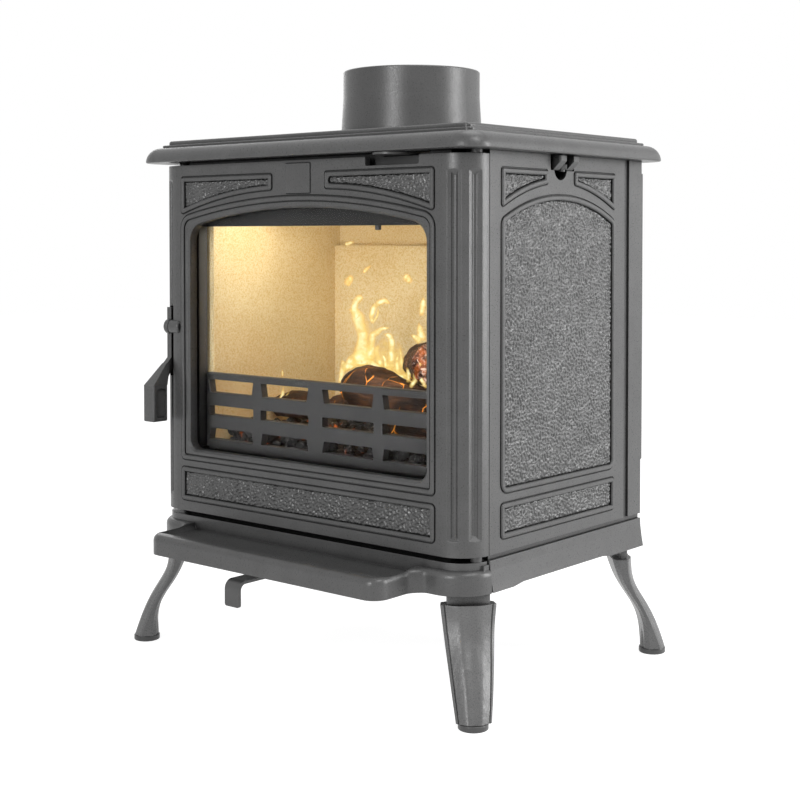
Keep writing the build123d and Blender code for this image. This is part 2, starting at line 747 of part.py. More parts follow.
# Firebed with its grate
grate_half = 88.0
grate_front = 78.0
grate_rear = 190.0
firebed = box(-shell_inner, shell_inner, board_front, shell_rear - shell_wall,
              ledge_z, firebed_top)
firebed -= box(-grate_half, grate_half, grate_front, grate_rear, ledge_z + 3, firebed_top + 1)
firebed -= box(-grate_half + 5, grate_half - 5, grate_front + 5, grate_rear - 5,
               ledge_z - 1, firebed_top + 1)
save("firebed_plate", firebed)
grate = box(-grate_half + 0.5, grate_half - 0.5, grate_front + 0.5, grate_rear - 0.5,
            ledge_z + 3, firebed_top)
grate_slots = 9
slot_pitch = (2 * grate_half - 16) / grate_slots
for n in range(grate_slots):
    x = -grate_half + 8 + (n + 0.5) * slot_pitch
    for y0, y1 in ((grate_front + 9, flue_y - 46), (flue_y - 40, grate_rear - 9)):
        grate -= box(x - 4.5, x + 4.5, y0, y1, ledge_z - 1, firebed_top + 1)
save("fire_grate", grate)

# Ash pan on two rails of the base
rail_top = pan_low + 0.3
pan_sheet = 1.5
pan_front = 38.0
pan_rear = 236.0
pan_out = pan_half - 1.5
pan = box(-pan_out, pan_out, pan_front, pan_rear, rail_top, pan_high - 1.2)
pan -= box(-pan_out + pan_sheet, pan_out - pan_sheet, pan_front + pan_sheet,
           pan_rear - pan_sheet, rail_top + pan_sheet, pan_high)
grab = box(-28, 28, pan_front - 9, pan_front + 1, pan_high - 16, pan_high - 12)
pan += fillet(grab.edges().filter_by(Axis.Z).group_by(Axis.Y)[0], 4)
save("ash_pan", pan)

# Log fence across the foot of the opening, lifted out upwards
fence_half = opening_half - 3.5
fence_low = base_top + 71.4
fence_high = base_top + 152.8
fence = box(-fence_half, fence_half, fence_front, fence_front + fence_thick,
            fence_low, fence_high)
fence += both(fence_half - 14, fence_half, fence_front, fence_front + fence_thick - 4.3,
              opening_low + 0.25, fence_low + 1)
cell_sides = ((9.6, 78.6), (89.6, fence_half - 3.5))
cell_rows = (
    (fence_high - 21.2, fence_high - 7.1, 2.4, 0.0),
    (fence_high - 45.4, fence_high - 35.1, 0.0, 0.0),
    (fence_high - 71.6, fence_high - 59.7, 0.0, 2.4),
)
for near, far in cell_sides:
    for low, high, low_in, high_in in cell_rows:
        cell = outline(
            (near + low_in, low), (far - low_in, low), (far - high_in, high),
            (near + high_in, high))
        cut = upright(Plane.XZ.offset(-20), fillet(cell.vertices(), 1), -20)
        fence -= cut
        fence -= mirrored(cut)
fence = chamfer(fence.edges().filter_by(Axis.X).group_by(Axis.Z)[-1], 1)
save("log_fence", fence)

# Base plate with flared skirts, rails for the pan, and seats for the rear legs
base_front = 31.3
skirt_front = 33.3
skirt_flare = 4.0
skirt_wall = 6.0
plate_thick = 8.0
plate_under = base_top - plate_thick
base = box(-body_half + skirt_wall, body_half - skirt_wall, base_front, body_back,
           plate_under, base_top)
skirt_section = [
    (body_half, base_top), (body_half + 0.6, base_top - 9), (body_half + 2.4, base_bottom + 8),
    (body_half + skirt_flare, base_bottom), (body_half + skirt_flare - skirt_wall, base_bottom),
    (body_half - skirt_wall, plate_under), (body_half - skirt_wall - 2, base_top),
]
skirt = along(skirt_section, skirt_front, body_back)
skirt = fillet(skirt.edges().group_by(Axis.Y)[0].sort_by(Axis.X)[-3:], 1.5)
cut_low = skirt_front + 41.5
cut_high = body_back - 72
skirt -= across([
    (cut_low - 8, base_bottom - 1), (cut_low - 8, base_bottom), (cut_low + 8, base_bottom + 2),
    (cut_high - 8, base_bottom + 2), (cut_high + 8, base_bottom), (cut_high + 8, base_bottom - 1),
], body_half - 10, body_half + 10)
base += skirt + mirrored(skirt)
base += box(-body_half + 2, body_half - 2, body_back - skirt_wall, body_back,
            base_bottom, base_top)
seat = 30.0
base += both(body_half - skirt_wall - seat, body_half - 2, body_back - seat - 4, body_back - 2,
             base_bottom, base_top)
base += both(pan_half - 20, pan_half - 10, frame_back, pan_rear - 10, base_top, rail_top)
slide_x = -26.0
slide_half = 40.0
primary_travel = 35.0
air_front = 100.0
air_rear = 130.0
base -= box(slide_x - 25, slide_x + 25, air_front, air_rear, plate_under - 1, base_top + 1)
save("base_plate", base)

# Ash lip in front of the base, under the door
lip_half = door_half - 24.2
lip_reach = -63.0
lip_corner = 16.0
lip_arc = column_radius + 6.0
lip_arc_x = body_half + skirt_flare - lip_arc
lip_band = base_bottom + 22.7
ogee_low = (1.4, -16.0)
ogee_high = (7.5, -8.2)
wall_inset = 1.5
shelf_half = lip_half - 2.0
shelf_low = base_bottom + 15.6
shelf_turn = -34.0
shelf_end = -56.0
shelf_rise = 8.4
shelf_blend = 5.0


def lip_edges(way):
    def at(x, y):
        return (way * x, y)

    start = -90 if way > 0 else 270
    return [
        Line((0, lip_reach), at(lip_half - lip_corner, lip_reach)),
        CenterArc(at(lip_half - lip_corner, lip_reach + lip_corner), lip_corner, start, way * 90),
        Line(at(lip_half, lip_reach + lip_corner), at(lip_half, -31)),
        Spline(at(lip_half, -31), at(lip_half + ogee_low[0], ogee_low[1]),
               at(lip_half + ogee_high[0], ogee_high[1]),
               at(lip_arc_x, base_front - lip_arc), tangents=[(0, 1), (way, 0)]),
        CenterArc(at(lip_arc_x, base_front), lip_arc, start, way * 90),
        Line(at(lip_arc_x + lip_arc, base_front), (0, base_front)),
        Line((0, base_front), (0, lip_reach)),
    ]


lip_round = 6.8
lip_drop = 2.75
lip_end = lip_reach - 2
above_lip = make_face([
    Line((base_front + 1, lip_band), (0, lip_band)),
    TangentArc((0, lip_band), (lip_end, lip_band - lip_drop), tangent=(-1, 0)),
    Line((lip_end, lip_band - lip_drop), (lip_end, lip_band + 5)),
    Line((lip_end, lip_band + 5), (base_front + 1, lip_band + 5)),
    Line((base_front + 1, lip_band + 5), (base_front + 1, lip_band)),
])
lip_plan = make_face(lip_edges(1)) + make_face(lip_edges(-1))
lip = Pos(0, 0, base_bottom) * extrude(lip_plan, amount=lip_band - base_bottom + 3)
lip_out = lip_arc_x + lip_arc + 1
lip -= extrude(Plane.YZ.offset(-lip_out) * above_lip, amount=2 * lip_out)
lip = fillet(lip.edges().filter_by(
    lambda e: e.center().Z > lip_band - 6.5 and abs(e.center().Y) > 0.2 and e.center().Y < base_front - 1
), lip_round)
shelf_top = shelf_low + shelf_blend + 5
shelf_face = make_face([
    Line((wall_inset, shelf_low), (shelf_turn, shelf_low)),
    TangentArc((shelf_turn, shelf_low), (shelf_end, shelf_low + shelf_rise), tangent=(-1, 0)),
    Line((shelf_end, shelf_low + shelf_rise), (shelf_end, shelf_top)),
    Line((shelf_end, shelf_top), (wall_inset, shelf_top)),
    Line((wall_inset, shelf_top), (wall_inset, shelf_low)),
])
shelf = extrude(Plane.YZ.offset(-shelf_half) * shelf_face, amount=2 * shelf_half)
shelf = fillet(shelf.edges().filter_by(
    lambda e: abs(abs(e.center().X) - shelf_half) < 0.1 and e.center().Z < shelf_low + 5
    and shelf_end < e.center().Y < wall_inset
), shelf_blend)
lip -= shelf
lip += Pos(0, 0, base_bottom + 4) * extrude(
    door_plan(wall_inset, base_front), amount=base_top - base_bottom - 4)
block = both(body_half - 12, body_half + 0.5, base_front - 7.5, base_front, lip_band - 2, base_top - 3)
lip += block
lip += rod(hinge_x, hinge_y, base_bottom + 4, base_top, shoulder_radius)
lip -= box(-shelf_half + 8, shelf_half - 8, lip_reach + 8, base_front + 1,
           base_bottom - 1, base_bottom + 5)
lip -= rod(hinge_x, hinge_y, base_top - pin_reach, base_top + 1, pin_radius + fixed_fit)
save("ash_lip", lip)

# Hinge pins with shoulders in the gaps above and below the door
lower_pin = rod(hinge_x, hinge_y, base_top - pin_reach, door_bottom + pin_reach - 0.4, pin_radius)
lower_pin += rod(hinge_x, hinge_y, base_top, door_bottom - part_gap, shoulder_radius)
save("lower_hinge_pin", lower_pin)
upper_pin = rod(hinge_x, hinge_y, door_top - pin_reach + 0.4, rim_bottom + pin_reach, pin_radius)
upper_pin += rod(hinge_x, hinge_y, door_top + part_gap, rim_bottom, shoulder_radius)
save("upper_hinge_pin", upper_pin)

# Legs, set on the diagonals, drawn as outer and inner points of sections down the leg
foot_x = body_half + 12.1
foot_front = -7.5
foot_back = body_back + 5.4
pad_radius = 13.9
pad_height = 6.0
stud_radius = 4.0
leg_top = leg_height - 9.3
leg_bottom = pad_height + 0.4
leg_top_half = 26.2
leg_foot_half = 16.4
heel_foot = 12.9
heel_radius = 12.0
heel_top = 28.5
neck_half = 20.0
neck_in = 32.3
neck_thick = 6.5
leg_run = (
    (25.0, 1.0, 47.2, 1.0),
    (24.2, 0.9, 44.6, 0.915),
    (22.2, 0.775, 40.8, 0.81),
    (16.6, 0.643, 33.1, 0.657),
    (5.9, 0.466, 19.9, 0.45),
    (-2.9, 0.288, 12.7, 0.25),
    (-8.6, 0.139, 11.2, 0.12),
    (-13.1, 0.0, 10.8, 0.0),
)
leg_face_curve = ((0.83, 6.1), (0.6, 3.2), (0.31, 0.5), (0.0, 0.9))
leg_edge = ((0.855, 7.0), (0.89, 6.0), (1.0, 8.4))
leg_back = ((0.94, 0.82), (0.6, 1.0))


def leg_wire(row):
    """Section down the leg: a soft curve outside with a raised lip at each edge, flat inside"""
    outer_s, outer_f, inner_s, inner_f = row
    outer_z = leg_bottom + outer_f * (leg_top - leg_bottom)
    inner_z = leg_bottom + inner_f * (leg_top - leg_bottom)
    half = leg_foot_half + (leg_top_half - leg_foot_half) * outer_f
    through = sqrt((inner_s - outer_s)**2 + (inner_z - outer_z)**2)

    def at(t, share):
        return (outer_s + share * (inner_s - outer_s), half * t,
                outer_z + share * (inner_z - outer_z))

    curve = [at(-t, depth / through) for t, depth in leg_face_curve]
    curve += [at(t, depth / through) for t, depth in leg_face_curve[-2::-1]]
    edge = [at(t, depth / through) for t, depth in leg_edge]
    edge += [at(t, share) for t, share in leg_back]
    edge += [at(-t, share) for t, share in leg_back[::-1]]
    edge += [at(-t, depth / through) for t, depth in leg_edge[::-1]]
    turns = [curve[-1], *edge, curve[0]]
    return Wire([Spline(*curve).edge(), *Polyline(*turns).edges()])


leg = Solid.make_loft([leg_wire(row) for row in leg_run])
heel = Pos(0, 0, (leg_bottom + heel_top) / 2) * Cone(heel_foot, heel_radius, heel_top - leg_bottom)
leg += heel & box(0, 13, -13, 13, leg_bottom, heel_top)
leg += box(neck_in, neck_in + neck_thick, -neck_half, neck_half, leg_top - 4, base_bottom)
leg -= rod(0, 0, leg_bottom - 1, 26, stud_radius + shaft_clearance)
foot = fillet(rod(0, 0, 0, pad_height, pad_radius).edges(), 1.2)
foot += rod(0, 0, pad_height - 1, 24, stud_radius)
places = {
    "front_right": Pos(foot_x, foot_front, 0) * Rot(0, 0, 135),
    "front_left": Pos(-foot_x, foot_front, 0) * Rot(0, 0, 45),
    "rear_right": Pos(foot_x, foot_back, 0) * Rot(0, 0, 225),
    "rear_left": Pos(-foot_x, foot_back, 0) * Rot(0, 0, 315),
}
for name, place in places.items():
    save(f"leg_{name}", place * leg)
    save(f"foot_{name}", place * foot)

# Primary air slide under the base, with its bent pull in front, and the guides
slide_thick = 2.4
slide_top = plate_under - slide_gap
slide_low = slide_top - slide_thick
slide_rear = 190.0
slide_front = base_front + primary_travel + 18
pull_half = 10.0
pull_thick = 3.0
pull_top = base_bottom - 7.8
pull_end = base_bottom - 33.3
bend = 9.0
end_corner = 2.5
slide = box(slide_x - slide_half, slide_x + slide_half, slide_front, slide_rear,
            slide_low, slide_top)
slide -= box(slide_x - 24, slide_x + 24, air_front + 2 + primary_travel,
             air_rear - 2 + primary_travel, slide_low - 1, slide_top + 1)
strip = across([
    (slide_front + 4, slide_top), (slide_front - 4, slide_top), (slide_front - 14, pull_top),
    (pull_front, pull_top), (pull_front, pull_end), (pull_front + pull_thick, pull_end),
    (pull_front + pull_thick, pull_top - pull_thick), (slide_front - 12, pull_top - pull_thick),
    (slide_front - 2, slide_low), (slide_front + 4, slide_low),
], slide_x - pull_half, slide_x + pull_half)
outer_bend = strip.edges().filter_by(Axis.X).group_by(Axis.Y)[0].sort_by(Axis.Z)[-1]
strip = fillet(outer_bend, bend)
inner_bend = strip.edges().filter_by(Axis.X).filter_by(
    lambda e: abs(e.center().Y - pull_front - pull_thick) < 0.1
    and abs(e.center().Z - pull_top + pull_thick) < 0.1)
strip = fillet(inner_bend, bend - pull_thick)
strip = fillet(strip.edges().filter_by(Axis.Y).group_by(Axis.Z)[0], end_corner)
save("primary_air_slide", slide + strip)

guides = []
for way in (-1, 1):
    inner = slide_x + way * (slide_half + slide_gap)
    outer = inner + way * 3
    lip_in = inner - way * 4
    rail = box(min(inner, outer), max(inner, outer), slide_front + 8, slide_rear + 1,
               slide_low - slide_gap - 3, plate_under)
    rail += box(min(lip_in, outer), max(lip_in, outer), slide_front + 8, slide_rear + 1,
                slide_low - slide_gap - 3, slide_low - slide_gap)
    guides.append(rail)
stop_y = slide_rear + slide_gap
back_stop = box(slide_x - slide_half - 3, slide_x + slide_half + 3, stop_y, stop_y + 3,
                slide_low - slide_gap - 3, plate_under)
save("air_slide_guides", guides[0] + guides[1] + back_stop)
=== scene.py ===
from math import cos, pi, radians, sin, sqrt

import bmesh
import bpy
import numpy as np
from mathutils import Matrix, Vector, noise


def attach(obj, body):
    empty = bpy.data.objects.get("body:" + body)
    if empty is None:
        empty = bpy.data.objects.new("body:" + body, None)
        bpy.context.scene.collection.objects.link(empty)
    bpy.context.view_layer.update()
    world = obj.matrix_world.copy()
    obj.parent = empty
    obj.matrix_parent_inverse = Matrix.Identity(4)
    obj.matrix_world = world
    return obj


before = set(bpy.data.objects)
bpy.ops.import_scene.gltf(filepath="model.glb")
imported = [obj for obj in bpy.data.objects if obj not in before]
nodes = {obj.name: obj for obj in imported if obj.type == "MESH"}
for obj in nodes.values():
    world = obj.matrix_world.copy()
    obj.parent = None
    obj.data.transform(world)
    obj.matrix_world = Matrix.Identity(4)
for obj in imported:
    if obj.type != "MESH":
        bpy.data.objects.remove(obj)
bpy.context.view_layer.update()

# Lengths below are in millimetres from the middle of the door's face: x right, y back, z up
ROW_SHIFT = -131.9
MM = 0.001


def place(x, y, z):
    return Vector((x, y + ROW_SHIFT, z)) * MM


# Materials
class Material:
    """A material whose nodes read the object's own coordinates"""

    def __init__(self, name):
        self.mat = bpy.data.materials.new(name)
        self.mat.use_nodes = True
        self.tree = self.mat.node_tree
        self.bsdf = self.tree.nodes["Principled BSDF"]
        self.coords = self.tree.nodes.new("ShaderNodeTexCoord").outputs["Object"]

    def link(self, source, target):
        self.tree.links.new(source, target)

    def stretched(self, x, y, z):
        node = self.tree.nodes.new("ShaderNodeMapping")
        node.inputs["Scale"].default_value = (x, y, z)
        self.link(self.coords, node.inputs["Vector"])
        return node.outputs["Vector"]

    def noise(self, size, detail=2.0, roughness=0.5, vector=None, distortion=0.0):
        """Noise whose features are about size millimetres across"""
        node = self.tree.nodes.new("ShaderNodeTexNoise")
        node.inputs["Scale"].default_value = 1 / (size * MM)
        node.inputs["Detail"].default_value = detail
        node.inputs["Roughness"].default_value = roughness
        node.inputs["Distortion"].default_value = distortion
        self.link(vector or self.coords, node.inputs["Vector"])
        return node.outputs["Fac"]

    def cells(self, size, vector=None):
        node = self.tree.nodes.new("ShaderNodeTexVoronoi")
        node.inputs["Scale"].default_value = 1 / (size * MM)
        self.link(vector or self.coords, node.inputs["Vector"])
        return node.outputs["Distance"]

    def ramp(self, factor, stops):
        node = self.tree.nodes.new("ShaderNodeValToRGB")
        ramp = node.color_ramp
        while len(ramp.elements) < len(stops):
            ramp.elements.new(0.5)
        for element, (position, colour) in zip(ramp.elements, stops):
            element.position = position
            if isinstance(colour, (int, float)):
                colour = (colour, colour, colour)
            element.color = (*colour, 1)
        self.link(factor, node.inputs["Fac"])
        return node.outputs["Color"]

    def mix(self, factor, a, b, how="MIX"):
        node = self.tree.nodes.new("ShaderNodeMix")
        node.data_type = "RGBA"
        node.blend_type = how
        for socket, value in ((node.inputs[0], factor), (node.inputs[6], a), (node.inputs[7], b)):
            if isinstance(value, bpy.types.NodeSocket):
                self.link(value, socket)
            elif isinstance(value, tuple):
                socket.default_value = (*value, 1)
            else:
                socket.default_value = value
        return node.outputs[2]

    def bevel(self, radius):
        node = self.tree.nodes.new("ShaderNodeBevel")
        node.samples = 6
        node.inputs["Radius"].default_value = radius * MM
        return node.outputs["Normal"]

    def painted_groove_shade(self, reach, dark):
        """Painted shade: a factor from ambient occlusion that falls to dark in grooves and corners narrower
        than reach millimetres
        """
        node = self.tree.nodes.new("ShaderNodeAmbientOcclusion")
        node.samples = 8
        node.inputs["Distance"].default_value = reach * MM
        return self.ramp(node.outputs["AO"], [(0.35, dark), (0.85, 1.0)])

    def bump(self, height, depth, strength=1.0, under=None):
        """Bump of depth millimetres, on top of another normal where one is given"""
        node = self.tree.nodes.new("ShaderNodeBump")
        node.inputs["Strength"].default_value = strength
        node.inputs["Distance"].default_value = depth * MM
        self.link(height, node.inputs["Height"])
        if under is not None:
            self.link(under, node.inputs["Normal"])
        return node.outputs["Normal"]

    def set(self, **values):
        for key, value in values.items():
            socket = self.bsdf.inputs[key.replace("_", " ")]
            if isinstance(value, bpy.types.NodeSocket):
                self.link(value, socket)
            else:
                socket.default_value = value
        return self.mat


GLOSS = 0.45
# Darkest level of the painted shade in grooves, as a share of the iron's colour
GROOVE_PAINTED_SHADE = 0.03


def iron(name, dark, light, rough=0.4, grain=0.16, bevel=0.9, swell=0.0, speck=0.12, reach=12.0):
    """Painted cast iron: a fine sandy grain over soft edges, and painted shade that darkens its grooves"""
    m = Material(name)
    tone = m.ramp(m.noise(26, 3), [(0.3, dark), (0.7, light)])
    specks = m.ramp(m.noise(0.9, 2), [(0.35, 1 - speck), (0.65, 1 + speck)])
    # Painted shade: the colour is darkened in grooves and corners where ambient occlusion falls
    shade = m.painted_groove_shade(reach, GROOVE_PAINTED_SHADE)
    colour = m.mix(1.0, m.mix(1.0, tone, specks, "MULTIPLY"), shade, "MULTIPLY")
    sheen = m.ramp(m.noise(1.4, 2), [(0.3, rough - 0.07), (0.7, rough + 0.09)])
    normal = m.bevel(bevel) if bevel else None
    if swell:
        normal = m.bump(m.noise(9, 2), swell, under=normal)
    if grain:
        normal = m.bump(m.noise(1.25, 3, 0.6), grain, under=normal)
    return m.set(Base_Color=colour, Roughness=sheen, Normal=normal, Specular_IOR_Level=GLOSS)


cast_iron = iron("cast_iron_painted", 0.052, 0.064, rough=0.32, grain=0.12)
# The hammered fields' painted shade reaches 2.6 mm, so it darkens the valleys between the lumps
hammer_iron = iron("cast_iron_hammered", 0.056, 0.074, rough=0.24, grain=0.06, bevel=0, reach=2.6)
# Legs: the same cast iron painted lighter, a painted highlight that stands for the light falling on them
lit_leg_iron = iron("cast_iron_leg_lit", 0.092, 0.108, rough=0.30, swell=0.5)
frame_iron = iron("cast_iron_frame", 0.062, 0.070, rough=0.5, grain=0, speck=0.03)
inner_iron = iron("cast_iron_inner", 0.05, 0.075, rough=0.6)


def sheet_metal(name, colour, rough):
    m = Material(name)
    tone = m.ramp(m.noise(30, 3), [(0.3, colour * 0.85), (0.7, colour * 1.15)])
    sheen = m.ramp(m.noise(3, 3), [(0.3, rough - 0.06), (0.7, rough + 0.08)])
    return m.set(Base_Color=tone, Roughness=sheen, Normal=m.bump(m.noise(0.6, 2), 0.03, under=m.bevel(0.4)))


dark_sheet = sheet_metal("dark_sheet", 0.05, 0.5)
dark_steel = sheet_metal("dark_steel", 0.045, 0.38)


def liner():
    m = Material("liner_board")
    broad = m.ramp(m.noise(60, 3), [(0.3, (0.69, 0.55, 0.31)), (0.7, (0.76, 0.635, 0.385))])
    flakes = m.ramp(m.noise(1.6, 3, 0.6), [(0.35, (0.84, 0.72, 0.50)), (0.55, (1.0, 1.0, 1.0))])
    golden = m.ramp(m.cells(4.5), [(0.06, (0.93, 0.74, 0.45)), (0.2, (1.0, 1.0, 1.0))])
    colour = m.mix(1.0, m.mix(1.0, broad, flakes, "MULTIPLY"), golden, "MULTIPLY")
    normal = m.bump(m.noise(1.4, 3, 0.6), 0.25)
    return m.set(Base_Color=colour, Roughness=0.9, Normal=normal)


liner_board = liner()


def glass():
    m = Material("window_glass")
    m.set(Base_Color=(1.0, 1.0, 1.0, 1.0), Transmission_Weight=1.0, IOR=1.07)
    haze = m.ramp(m.noise(40, 3), [(0.3, 0.0), (0.8, 0.02)])
    return m.set(Roughness=haze)


window_glass = glass()


def rope_fibre():
    m = Material("seal_rope")
    twist = m.tree.nodes.new("ShaderNodeTexWave")
    twist.bands_direction = "DIAGONAL"
    twist.inputs["Scale"].default_value = 90
    twist.inputs["Distortion"].default_value = 2
    m.link(m.coords, twist.inputs["Vector"])
    colour = m.ramp(twist.outputs["Fac"], [(0.2, 0.10), (0.8, 0.19)])
    return m.set(Base_Color=colour, Roughness=0.95, Normal=m.bump(twist.outputs["Fac"], 0.6))


seal_rope = rope_fibre()


def gasket_felt():
    m = Material("glass_gasket")
    colour = m.ramp(m.noise(1.5, 3), [(0.3, 0.06), (0.7, 0.10)])
    return m.set(Base_Color=colour, Roughness=0.95, Normal=m.bump(m.noise(0.8, 2), 0.1))


def ash_grey():
    m = Material("pan_steel")
    colour = m.ramp(m.noise(14, 4), [(0.3, 0.10), (0.7, 0.16)])
    return m.set(Base_Color=colour, Roughness=0.6, Metallic=0.4, Normal=m.bump(m.noise(2, 2), 0.05))


finishes = {
    "liner_board": ("left_liner", "right_liner", "lower_rear_liner", "upper_rear_liner", "baffle_plate"),
    "window_glass": ("door_glass",),
    "seal_rope": ("door_rope",),
    "glass_gasket": ("glass_gasket",),
    "dark_sheet": ("rear_heat_shield", "firebox_shell", "glass_clips", "air_wash_guides", "air_slide_guides"),
    "dark_steel": ("heat_shield_screws", "clip_screws", "collar_bolts", "handle_pin", "left_clamp_bolt",
                   "right_clamp_bolt", "lower_hinge_pin", "upper_hinge_pin", "primary_air_slide",
                   "air_wash_slide", "air_wash_stop_pin", "latch_keeper", "foot_front_left",
                   "foot_front_right", "foot_rear_left", "foot_rear_right"),
    "pan_steel": ("ash_pan",),
    "frame_iron": ("front_frame", "log_fence"),
    "inner_iron": ("fire_grate", "firebed_plate"),
    "lit_leg_iron": ("leg_front_left", "leg_front_right", "leg_rear_left", "leg_rear_right"),
}
made = {
    "liner_board": liner_board, "window_glass": window_glass, "seal_rope": seal_rope,
    "glass_gasket": gasket_felt(), "dark_sheet": dark_sheet, "dark_steel": dark_steel,
    "pan_steel": ash_grey(), "frame_iron": frame_iron, "inner_iron": inner_iron,
    "lit_leg_iron": lit_leg_iron,
}
finish_of = {node: finish for finish, members in finishes.items() for node in members}
for name, node in nodes.items():
    material = made.get(finish_of.get(name), cast_iron)
    node.data.materials.clear()
    node.data.materials.append(material)


def new_mesh(name, vertices, faces, material, body, smooth=True):
    mesh = bpy.data.meshes.new(name)
    mesh.from_pydata([tuple(v) for v in vertices], [], faces)
    mesh.validate()
    if smooth:
        mesh.shade_smooth()
    mesh.materials.append(material)
    piece = bpy.data.objects.new(name, mesh)
    bpy.context.scene.collection.objects.link(piece)
    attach(piece, body)
    return piece


# Hammered fields in the sunk panels of the door and the sides
BODY_HALF = 213.0
FIELD_SINK = 2.0
TUCK = 0.5
BORDER = 4.8
TILE_POINTS = 512
TILE_STEP = 0.5
LUMP = 4.2
LUMP_LOW = 0.3
LUMP_HEIGHT = 1.75
FALL = 1.4
STEP = 0.8


def lump_field(size, seed):
    """Square tile of winding lumps with an even spread of wavelengths near size"""
    rng = np.random.default_rng(seed)
    spectrum = np.fft.fft2(rng.standard_normal((TILE_POINTS, TILE_POINTS)))
    frequency = np.fft.fftfreq(TILE_POINTS, TILE_STEP)
    f = np.hypot(*np.meshgrid(frequency, frequency, indexing="ij"))
    band = np.exp(-((f - 1 / size) / (0.42 / size)) ** 2)
    fine = 0.28 * np.exp(-((f - 2.1 / size) / (0.6 / size)) ** 2)
    field = np.real(np.fft.ifft2(spectrum * (band + fine)))
    field /= field.std()
    return np.tanh(0.9 * field)


lumps = lump_field(LUMP, 7)


def lump_at(u, v):
    """Height from 0 to 1 at (u, v) millimetres, which wraps round the tile"""
    n = TILE_POINTS
    a = np.asarray(u) / TILE_STEP % n
    b = np.asarray(v) / TILE_STEP % n
    i, j = a.astype(int), b.astype(int)
    s, t = a - i, b - j
    i2, j2 = (i + 1) % n, (j + 1) % n
    value = (lumps[i % n, j % n] * (1 - s) * (1 - t) + lumps[i2, j % n] * s * (1 - t)
             + lumps[i % n, j2] * (1 - s) * t + lumps[i2, j2] * s * t)
    return 0.5 + 0.5 * value


def hammered(name, body, start, end, low, high, to_point, shift):
    """Grid between two heights, low(u) and high(u), with lumps that stand out of a sunk field"""
    columns = int((end - start) / STEP) + 2
    us = np.linspace(start - TUCK, end + TUCK, columns)
    inside = np.clip(us, start, end)
    lows = np.array([low(u) for u in inside]) - TUCK
    highs = np.array([high(u) for u in inside]) + TUCK
    rows = int((highs - lows).max() / STEP) + 2
    t = np.linspace(0, 1, rows)
    grid_u = np.repeat(us[:, None], rows, axis=1)
    grid_v = lows[:, None] + (highs - lows)[:, None] * t[None, :]
    rim = np.minimum(grid_v - lows[:, None], highs[:, None] - grid_v)
    rim = np.minimum(rim, np.minimum(grid_u - start, end - grid_u) + TUCK) - TUCK
    rise = np.clip(rim / FALL, 0, 1)
    height = LUMP_LOW + LUMP_HEIGHT * rise * lump_at(grid_u + shift, grid_v + 2 * shift)
    points = [to_point(u, v, h) for u, v, h in zip(grid_u.ravel(), grid_v.ravel(), height.ravel())]
    faces = []
    for i in range(columns - 1):
        for j in range(rows - 1):
            a = i * rows + j
            faces.append((a, a + rows, a + rows + 1, a + 1))
    return new_mesh(name, points, faces, hammer_iron, body)


# A point at (u, v) on the floor of a sunk field, raised by h
def on_door(u, v, h):
    return place(u, FIELD_SINK - h, v)


def on_right(u, v, h):
    return place(BODY_HALF - FIELD_SINK + h, u, v)


def on_left(u, v, h):
    return place(-BODY_HALF + FIELD_SINK - h, u, v)


# The door's fields: one below the window, and one in each upper corner
LOWER_HALF = 169.5
LOWER_BOTTOM = 164.2
LOWER_TOP = 190.0
BAND_CROWN = 482.9
BAND_RADIUS = 758.9
SPANDREL_GAP = 7.4
SPANDREL_TOP = 505.5
SPANDREL_NEAR = 36.8
SPANDREL_FAR = 173.5
SPANDREL_DROP = 4.0


def arc_through(p, q, r):
    """Height at u of the circle through three points, on its upper side"""
    (ax, ay), (bx, by), (cx, cy) = p, q, r
    d = 2 * (ax * (by - cy) + bx * (cy - ay) + cx * (ay - by))
    ux = ((ax**2 + ay**2) * (by - cy) + (bx**2 + by**2) * (cy - ay) + (cx**2 + cy**2) * (ay - by)) / d
    uy = ((ax**2 + ay**2) * (cx - bx) + (bx**2 + by**2) * (ax - cx) + (cx**2 + cy**2) * (bx - ax)) / d
    radius = sqrt((ax - ux) ** 2 + (ay - uy) ** 2)
    return lambda x: uy + sqrt(max(radius**2 - (x - ux) ** 2, 0))


def bow_at(x):
    """Height of a spandrel's lower edge, which follows the bow of the window"""
    return BAND_CROWN + SPANDREL_GAP - BAND_RADIUS + sqrt(BAND_RADIUS**2 - x**2)


middle = (SPANDREL_NEAR + SPANDREL_FAR) / 2
front_edge = arc_through((SPANDREL_NEAR, bow_at(SPANDREL_NEAR)), (middle, bow_at(middle)),
                         (SPANDREL_FAR, bow_at(SPANDREL_FAR) - SPANDREL_DROP))
hammered("door_lower_hammered", "door", -LOWER_HALF, LOWER_HALF,
         lambda u: LOWER_BOTTOM, lambda u: LOWER_TOP, on_door, 3)
hammered("door_right_spandrel_hammered", "door", SPANDREL_NEAR + BORDER, SPANDREL_FAR - BORDER,
         lambda u: front_edge(u) + BORDER, lambda u: SPANDREL_TOP - BORDER, on_door, 31)
hammered("door_left_spandrel_hammered", "door", -SPANDREL_FAR + BORDER, -SPANDREL_NEAR - BORDER,
         lambda u: front_edge(-u) + BORDER, lambda u: SPANDREL_TOP - BORDER, on_door, 57)

# Each side's fields: an arch, one below it, and one in each upper corner
ARCH_CENTRE = 149.5
ARCH_HALF = 99.0
ARCH_LOW = 202.5
ARCH_CROWN = 482.3
ARCH_RADIUS = 215.0
SIDE_LOWER_BOTTOM = 160.0
SIDE_LOWER_TOP = 193.0
SIDE_TOP = 505.9
SIDE_NEAR = 23.5
SIDE_FAR = 98.7
EDGE_OUT = 15.0
EDGE_RISE = 13.0
EDGE_FALL = 0.04


def arch_top(u):
    """Height of the arch's hammered edge at u"""
    radius = ARCH_RADIUS - BORDER
    return ARCH_CROWN - ARCH_RADIUS + sqrt(radius**2 - (u - ARCH_CENTRE) ** 2)


